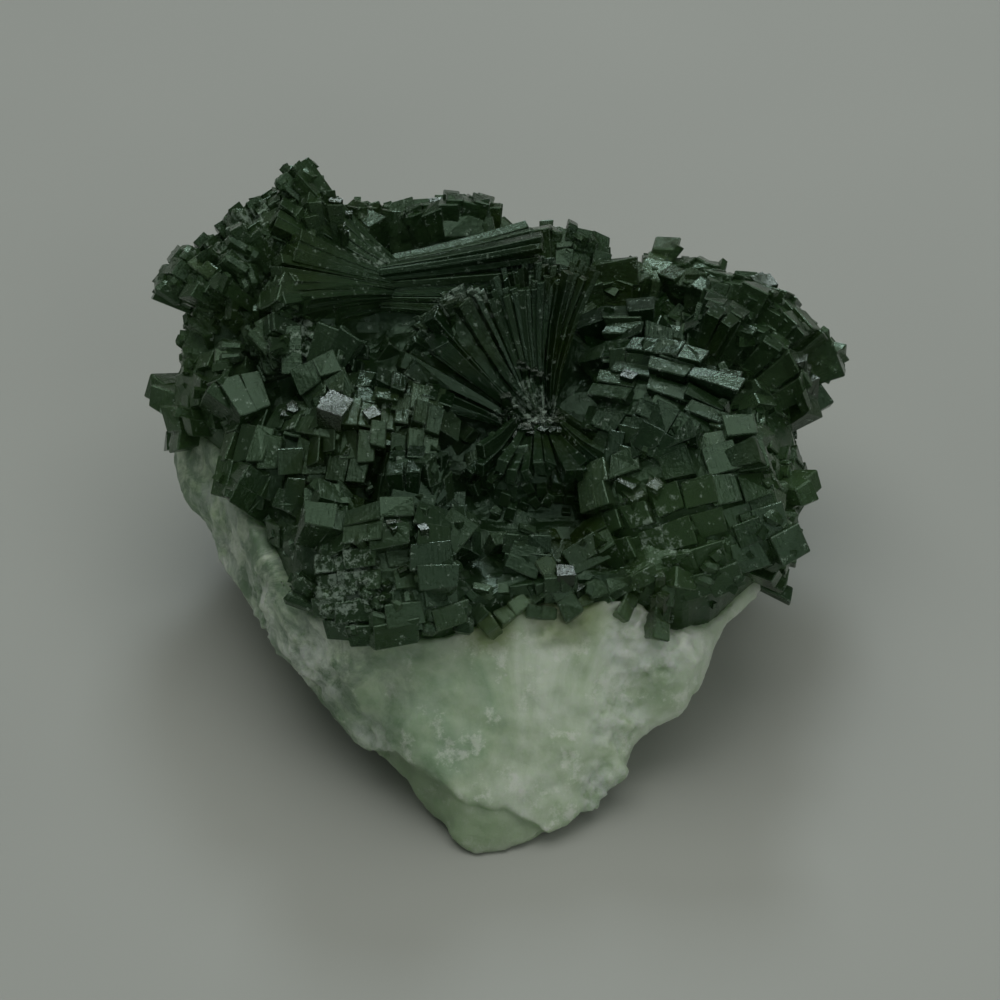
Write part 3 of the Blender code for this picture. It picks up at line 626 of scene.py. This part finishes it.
def grow_small_barrels(crystals, places):
    """At each place a few blocks side by side that spread a little, as wide as the cover there says."""
    for place, normal, (_, sizes, across, deep_range, proud_range, worn, leaning), number in places:
        # Each barrel has random numbers of its own, so that one that finds no ground doesn't change the others.
        rng, crystals.chance = random.Random(number), np.random.default_rng(number)
        _, waist, _, spread, *_ = min(SHEAVES, key=lambda sheaf: (Vector(sheaf[2]) * MM - place).length)
        lean = Vector([rng.gauss(0, 1) for _ in range(3)]) * leaning
        outwards = (place - Vector(waist) * MM).normalized()
        facing = (normal * 0.8 + outwards * 0.7 + lean).normalized()
        side = Vector(spread) + Vector([rng.gauss(0, 1) for _ in range(3)]) * leaning * 1.5
        side = (side - facing * side.dot(facing)).normalized()
        other = facing.cross(side)
        width, depth = rng.uniform(*sizes) * MM, rng.uniform(*sizes) * MM
        columns, rows = rng.randint(*across), rng.randint(*deep_range)
        reach = max(width, depth) * 2.4
        tone = rng.random()
        proud = rng.uniform(*proud_range) * MM
        for i in range(columns):
            for j in range(rows):
                u, v = i - (columns - 1) / 2, j - (rows - 1) / 2
                way = (facing + side * u * SPLAY + other * v * SPLAY).normalized()
                foot = place - facing * reach * 0.75 + side * u * width * 0.7 + other * v * depth * 0.7
                tip = foot + way * (reach * 0.75 + proud + rng.gauss(0, 0.1) * MM)
                fit = rng.uniform(0.98, 1.12)
                if not inside_box(tip, max(width, depth) * 0.4):
                    continue
                crystals.add(
                    foot,
                    tip,
                    side,
                    (width * 0.8, depth * 0.8),
                    (width * fit, depth * fit),
                    (rng.gauss(0, 0.1), rng.gauss(0, 0.1)),
                    min(1.0, max(0.0, tone + rng.gauss(0, 0.18))),
                    worn,
                )


def grow_crust():
    """Sheaves, single crystals, small barrels and crumbs, each growing on what is there already, as one solid."""
    crystals = Crystals()
    rng, fine = random.Random(SEED), random.Random(SEED + 1)
    for measures in SHEAVES:
        grow_sheaf(crystals, rng, fine, *measures)
    grow_named(crystals, fine)
    grown = crystals.made + [ground_mass()]
    surfaces = [tree_of(*grown)]
    crust = grown_together(grown)
    for tries, cover in ((BARREL_TRIES, None), (CRUMB_TRIES, CRUMBS)):
        crystals.made = []
        grow_small_barrels(crystals, places_on(surfaces, tries, cover))
        if cover:
            grow_glints(crystals, surfaces, random.Random(SEED + 2))
        surfaces.append(tree_of(*crystals.made))
        crust = without_pockets(grown_together([crust] + crystals.made))
    obj = bpy.data.objects.new("prehnite_crystals", crust)
    bpy.context.scene.collection.objects.link(obj)
    return obj


# The stone.


# The ledge near the tip: a point of its edge, the way across the edge towards the lower side, the way the stone faces
# there, how deep the lower side lies and how wide the slope between is, in mm.
LEDGE = ((-6.6, -20.6, 5.0), (-0.41, -0.545, -0.73), (-0.13, -0.99, 0.0), 0.65, 1.0)

# Its edge is uneven in waves: how high, how many radians a mm, and where the wave begins.
LEDGE_WAVES = ((0.3, 0.9, 1.0), (0.08, 3.1, 0.0))

STONE_VOXEL = 0.28

# Relief of the stone: name and kind of the texture, size in mm, its settings, depth in mm, and where it lies.
STONE_RELIEF = (
    ("lumps", "CLOUDS", 6.0, {"noise_depth": 0}, 0.9, "off_the_base"),
    ("chips", "VORONOI", 4.6, {}, 0.5, "off_the_base"),
    ("dents", "CLOUDS", 1.9, {"noise_depth": 1}, 0.45, "off_the_base"),
    ("breaks", "VORONOI", 1.6, {}, 1.1, "knobbly"),
    ("grit", "CLOUDS", 0.7, {"noise_depth": 2}, 0.9, "knobbly"),
)

# Where the stone is rough and knobbly, elsewhere a little: middle, radius in mm, and how much.
ROUGH_PLACES = (
    ((10.8, -14.0, 11.0), 5.0, 1.0),
    ((4.2, -14.0, 13.0), 3.4, 0.9),
    ((8.4, -17.4, 6.0), 3.6, 0.8),
    ((6.8, -19.4, 2.0), 3.4, 1.2),
    ((-13.0, -14.0, 9.0), 4.4, 0.8),
    ((-16.6, -8.0, 9.0), 5.0, 0.7),
    ((-9.6, -18.6, 5.0), 3.4, 0.7),
    ((-20.0, -1.0, 11.0), 6.0, 0.5),
    ((0.0, 20.0, 8.0), 14.0, 0.8),
    ((16.0, 2.0, 7.0), 8.0, 0.7),
)
A_LITTLE_ROUGH = 0.2


def smooth_step(value, low, high):
    """0 below low, 1 above high, soft in between."""
    share = np.clip((value - low) / (high - low), 0, 1)
    return share * share * (3 - 2 * share)


def shape_stone():
    """The solid stone with its ledge, chips, dents and rough places; its base stays flat."""
    obj = merged_copy("stone", "prehnite_stone")
    add_modifier(obj, "REMESH", mode="VOXEL", voxel_size=STONE_VOXEL * MM)
    finish_modifiers(obj)
    mesh = obj.data
    points = np.array([v.co for v in mesh.vertices]) / MM
    facing = np.array([v.normal for v in mesh.vertices])
    free = smooth_step(points[:, 2], 0.15, 1.0)
    edge, across, outward, depth, slope = LEDGE
    across, outward = np.array(across), np.array(outward)
    uneven = sum(height * np.sin(pace * points[:, 0] + start) for height, pace, start in LEDGE_WAVES)
    below = smooth_step((points - np.array(edge)) @ across + uneven, 0.0, slope)
    below = below * smooth_step(-points[:, 1], 13.0, 18.0)
    points[:, :2] -= below[:, None] * outward[:2] * depth
    mesh.vertices.foreach_set("co", (points * MM).astype(np.float32).ravel())
    rough = np.full(len(points), A_LITTLE_ROUGH)
    for place, radius, amount in ROUGH_PLACES:
        near = 1 - np.linalg.norm(points - np.array(place), axis=1) / radius
        rough = np.maximum(rough, amount * smooth_step(near, 0.0, 0.6))
    whole, knobbly = obj.vertex_groups.new(name="off_the_base"), obj.vertex_groups.new(name="knobbly")
    for v, share, knobs in zip(mesh.vertices, free.tolist(), (rough * free).tolist()):
        whole.add([v.index], share, "REPLACE")
        knobbly.add([v.index], knobs, "REPLACE")
    for name, values in (("rough", rough), ("ledge", below)):
        mesh.attributes.new(name, "FLOAT", "POINT").data.foreach_set("value", values.astype(np.float32))
    for name, kind, size, settings, depth, group in STONE_RELIEF:
        add_modifier(obj, "DISPLACE", texture=clouds(name, kind, size, **settings), strength=depth * MM,
                     mid_level=0.5, texture_coords="LOCAL", vertex_group=group)
    finish_modifiers(obj)
    bpy.ops.object.shade_smooth()
    return obj


# Finishes.


# Colours of the crystals: from the darkest to the palest tone, a painted olive glow, a painted lighter glow where the
# crust is thin at its edge, and frosted.
CRYSTAL_TONES = (
    (0.0, (0.010, 0.028, 0.009)),
    (0.25, (0.023, 0.052, 0.020)),
    (0.5, (0.058, 0.102, 0.049)),
    (1.0, (0.24, 0.33, 0.14)),
)
OLIVE_GLOW = (0.026, 0.048, 0.008)
THIN_GLOW_GREEN = (0.080, 0.150, 0.055)
FROST_WHITE = (0.36, 0.44, 0.38)
GREEN_SHINE, WHITE_SHINE = (0.68, 1.0, 0.77), (1.0, 1.0, 1.0)

# Colours of the stone: its clouds, white spots, the dark veins and painted shade of its left side, rough places,
# below the crust, and below the ledge.
STONE_CLOUDS = (
    (0.36, (0.32, 0.46, 0.29)),
    (0.5, (0.48, 0.59, 0.41)),
    (0.62, (0.67, 0.75, 0.62)),
)
STONE_SPOTS = (0.84, 0.88, 0.80)
VEINS_AND_SHADE = (0.11, 0.19, 0.11)
ROUGH_WHITE = (0.80, 0.86, 0.80)
EDGE_OLIVE = (0.22, 0.30, 0.09)
LEDGE_GREEN = (0.22, 0.31, 0.17)

FLOOR_TONES = (
    (0.3, (0.40, 0.405, 0.385)),
    (0.7, (0.45, 0.455, 0.43)),
)


class Shader:
    """Short names for building a material's nodes."""

    def __init__(self, name):
        self.material = bpy.data.materials.new(name)
        self.material.use_nodes = True
        self.nodes = self.material.node_tree.nodes
        self.links = self.material.node_tree.links
        self.principled = self.nodes["Principled BSDF"]

    def link(self, output, target):
        self.links.new(output, target)

    def node(self, kind, inputs=None, **settings):
        made = self.nodes.new(kind)
        for key, value in settings.items():
            setattr(made, key, value)
        for key, value in (inputs or {}).items():
            socket = made.inputs[key]
            if isinstance(value, bpy.types.NodeSocket):
                self.link(value, socket)
            else:
                socket.default_value = value
        return made

    def attribute(self, name):
        return self.node("ShaderNodeAttribute", attribute_name=name, attribute_type="GEOMETRY").outputs["Fac"]

    def noise(self, vector, scale, detail=3.0, roughness=0.55, distortion=0.0):
        made = self.node("ShaderNodeTexNoise", {
            "Vector": vector, "Scale": scale, "Detail": detail, "Roughness": roughness, "Distortion": distortion,
        })
        return made.outputs["Fac"]

    def ramp(self, value, *stops):
        made = self.node("ShaderNodeValToRGB", {"Fac": value})
        ramp = made.color_ramp
        while len(ramp.elements) < len(stops):
            ramp.elements.new(0.5)
        for element, (place, colour) in zip(ramp.elements, stops):
            element.position = place
            element.color = (*colour, 1.0)
        return made.outputs["Color"]

    def level(self, value, low, high):
        """0 below low, 1 above high."""
        made = self.node("ShaderNodeMapRange", {"Value": value, "From Min": low, "From Max": high}, clamp=True)
        return made.outputs["Result"]

    def near(self, place, spot, radius):
        """1 close to a spot, 0 beyond the radius in mm."""
        away = self.node("ShaderNodeVectorMath", {0: place, 1: Vector(spot) * MM}, operation="DISTANCE")
        return self.level(away.outputs["Value"], radius * MM, radius * 0.5 * MM)

    def math(self, operation, a, b=0.0):
        return self.node("ShaderNodeMath", {0: a, 1: b}, operation=operation).outputs[0]

    def mix(self, share, a, b):
        """The colour a, or b where the share is 1."""
        made = self.node("ShaderNodeMix", data_type="RGBA")
        for socket, value in ((made.inputs[0], share), (made.inputs[6], a), (made.inputs[7], b)):
            if isinstance(value, bpy.types.NodeSocket):
                self.link(value, socket)
            elif isinstance(value, tuple) and len(value) == 3:
                socket.default_value = (*value, 1.0)
            else:
                socket.default_value = value
        return made.outputs[2]

    def bump(self, height, distance, strength=1.0, normal=None):
        inputs = {"Height": height, "Distance": distance, "Strength": strength}
        if normal is not None:
            inputs["Normal"] = normal
        return self.node("ShaderNodeBump", inputs).outputs["Normal"]

    def set(self, **values):
        """Sets or links the shader's own sockets."""
        for key, value in values.items():
            socket = self.principled.inputs[key.replace("_", " ")]
            if isinstance(value, bpy.types.NodeSocket):
                self.link(value, socket)
            else:
                socket.default_value = value


def crystal_finish():
    """Bottle-green prehnite: glassy, deep in colour, with a painted olive and lighter green glow of light coming
    through where it is thin, frosted edges and dusty faces.
    """
    s = Shader("dark_prehnite_finish")
    place = s.node("ShaderNodeTexCoord").outputs["Object"]
    along = s.node("ShaderNodeUVMap", uv_map="UVMap").outputs["UV"]
    tone = s.attribute("tone")
    edge = s.attribute("edge")
    lines = s.node("ShaderNodeMapping", {"Vector": along, "Scale": (5.0, 0.35, 1.0)}).outputs["Vector"]
    streaks = s.noise(lines, 1.0, detail=4, roughness=0.65)
    uneven = s.math("MULTIPLY", s.math("SUBTRACT", streaks, 0.5), 0.9)
    body = s.ramp(s.math("MULTIPLY", s.math("ADD", tone, uneven), 0.5), *CRYSTAL_TONES)
    pale = s.level(tone, 1.0, 2.0)
    # Painted olive glow of light coming through the crystals: in random zones and at the olive spots.
    olive_glow_zones = s.level(s.noise(place, 150, detail=1), 0.53, 0.70)
    for spot, radius in OLIVE_GLOW_SPOTS:
        olive_glow_zones = s.math("MAXIMUM", olive_glow_zones, s.near(place, spot, radius))
    body = s.mix(s.math("MULTIPLY", olive_glow_zones, s.math("SUBTRACT", 1.0, pale)), body, OLIVE_GLOW)
    # Painted lighter green glow of light coming through the thin crust: towards its edge and at the thin spots.
    thin = s.math("MULTIPLY", s.math("SUBTRACT", 1.0, s.near(place, THICK_MIDDLE, THIN_GLOW_FROM)), 0.45)
    for spot, radius in THIN_GLOW_SPOTS:
        thin = s.math("MAXIMUM", thin, s.math("MULTIPLY", s.near(place, spot, radius), 0.85))
    body = s.mix(thin, body, THIN_GLOW_GREEN)
    grains = s.noise(place, 1500, detail=3, roughness=0.75)
    spots = 0.0
    for spot, radius in DUSTY_SPOTS:
        spots = s.math("MAXIMUM", spots, s.near(place, spot, radius))
    dust = s.level(s.math("ADD", grains, s.math("MULTIPLY", spots, 0.15)), 0.60, 0.72)
    worn = s.math("MULTIPLY", edge, s.level(grains, 0.42, 0.62))
    frost = s.math("MAXIMUM", s.math("MULTIPLY", dust, 0.7), s.math("MULTIPLY", worn, 0.22))
    body = s.mix(frost, body, FROST_WHITE)
    clean = s.math("SUBTRACT", 1.0, frost)
    mirror = s.level(tone, 0.0, 1.4 * MIRROR_TONE)
    growth = s.bump(streaks, 0.07 * MM, 0.7)
    s.set(
        Base_Color=body,
        Roughness=s.math("MULTIPLY", s.level(grains, 0.2, 1.9), s.math("SUBTRACT", 1.0, mirror)),
        Normal=s.bump(grains, 0.12 * MM, 0.6, growth),
        IOR=1.55,
        Specular_Tint=s.mix(mirror, GREEN_SHINE, WHITE_SHINE),
        Transmission_Weight=s.math("MULTIPLY", s.math("ADD", s.math("MULTIPLY", pale, 0.25), 0.55), clean),
    )
    return s.material


def stone_finish():
    """Pale massive prehnite: cloudy green and white, waxy, veined and with painted shade on its left, frosted where it
    is rough.
    """
    s = Shader("pale_prehnite_finish")
    place = s.node("ShaderNodeTexCoord").outputs["Object"]
    cloud = s.noise(place, 95, detail=6, roughness=0.62, distortion=0.6)
    body = s.ramp(cloud, *STONE_CLOUDS)
    spots = s.level(s.noise(place, 420, detail=5, roughness=0.75), 0.55, 0.64)
    body = s.mix(s.math("MULTIPLY", spots, 0.6), body, STONE_SPOTS)
    # Darker towards the left: painted shade of the left side, mottled by its dark veins.
    side = s.node("ShaderNodeSeparateXYZ", {"Vector": place}).outputs["X"]
    veins = s.level(s.noise(place, 260, detail=5, roughness=0.7, distortion=0.8), 0.42, 0.56)
    shade = s.math("ADD", s.math("MULTIPLY", veins, 0.75), 0.15)
    body = s.mix(s.math("MULTIPLY", s.level(side, -3.0 * MM, -12.0 * MM), shade), body, VEINS_AND_SHADE)
    rough = s.math("MULTIPLY", s.attribute("rough"), s.level(s.noise(place, 520, detail=6, roughness=0.7), 0.40, 0.60))
    body = s.mix(s.math("MULTIPLY", rough, 0.8), body, ROUGH_WHITE)
    for spot, radius in GREEN_EDGES:
        body = s.mix(s.math("MULTIPLY", s.near(place, spot, radius), 0.7), body, EDGE_OLIVE)
    body = s.mix(s.math("MULTIPLY", s.attribute("ledge"), 0.65), body, LEDGE_GREEN)
    grit = s.bump(s.noise(place, 1300, detail=6, roughness=0.7), 0.10 * MM, 0.8)
    s.set(
        Base_Color=body,
        Roughness=s.level(s.noise(place, 900, detail=3), -0.5, 1.3),
        Normal=grit,
        IOR=1.6,
        Subsurface_Weight=0.6,
        Subsurface_Radius=(1.0, 1.35, 0.8),
        Subsurface_Scale=2.2 * MM,
    )
    return s.material


def floor_finish():
    """Plain pale grey, hardly shining."""
    s = Shader("floor_finish")
    place = s.node("ShaderNodeTexCoord").outputs["Object"]
    s.set(Base_Color=s.ramp(s.noise(place, 9), *FLOOR_TONES), Roughness=0.6, Specular_IOR_Level=0.3)
    return s.material


# The studio.


def set_studio():
    """The floor, dim daylight all round and the lamps."""
    bpy.ops.object.select_all(action="DESELECT")
    bpy.ops.mesh.primitive_plane_add(size=4, location=(0, 0, -0.02 * MM))
    floor = bpy.context.object
    floor.name = "floor"
    floor.data.materials.append(floor_finish())
    world = bpy.data.worlds.new("soft_daylight")
    world.use_nodes = True
    background = world.node_tree.nodes["Background"]
    background.inputs["Color"].default_value = DAYLIGHT
    background.inputs["Strength"].default_value = DAYLIGHT_STRENGTH
    bpy.context.scene.world = world
    for name, place, size, power, colour in LAMPS:
        light = bpy.data.lights.new(name, "AREA")
        light.size = size
        light.energy = power
        light.color = colour
        lamp = bpy.data.objects.new(name, light)
        lamp.location = place
        lamp.rotation_euler = (CAMERA_TARGET - Vector(place)).to_track_quat("-Z", "Y").to_euler()
        bpy.context.scene.collection.objects.link(lamp)


def set_camera():
    """The view of the photograph."""
    data = bpy.data.cameras.new("camera")
    camera = bpy.data.objects.new("camera", data)
    back = Vector((0, -math.cos(CAMERA_ELEVATION), math.sin(CAMERA_ELEVATION)))
    camera.location = CAMERA_TARGET + back * CAMERA_DISTANCE
    camera.rotation_euler = (-back).to_track_quat("-Z", "Y").to_euler()
    data.angle = 2 * math.atan(VIEW_WIDTH / 2 / CAMERA_DISTANCE)
    data.clip_start = 10 * MM
    bpy.context.scene.collection.objects.link(camera)
    bpy.context.scene.camera = camera


def dress(obj, finish, node):
    """Gives a piece its finish, hangs it under the root body and hides the CAD node that it stands for."""
    obj.data.materials.clear()
    obj.data.materials.append(finish)
    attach(obj, "root")
    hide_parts(node)


bpy.context.scene.view_settings.view_transform = "Standard"
crust = grow_crust()
stone = shape_stone()
dress(crust, crystal_finish(), "crystal_crust")
dress(stone, stone_finish(), "stone")
for piece in (crust, stone):
    piece.data.calc_loop_triangles()
    print("piece", piece.name, len(piece.data.loop_triangles), "triangles")
set_studio()
set_camera()
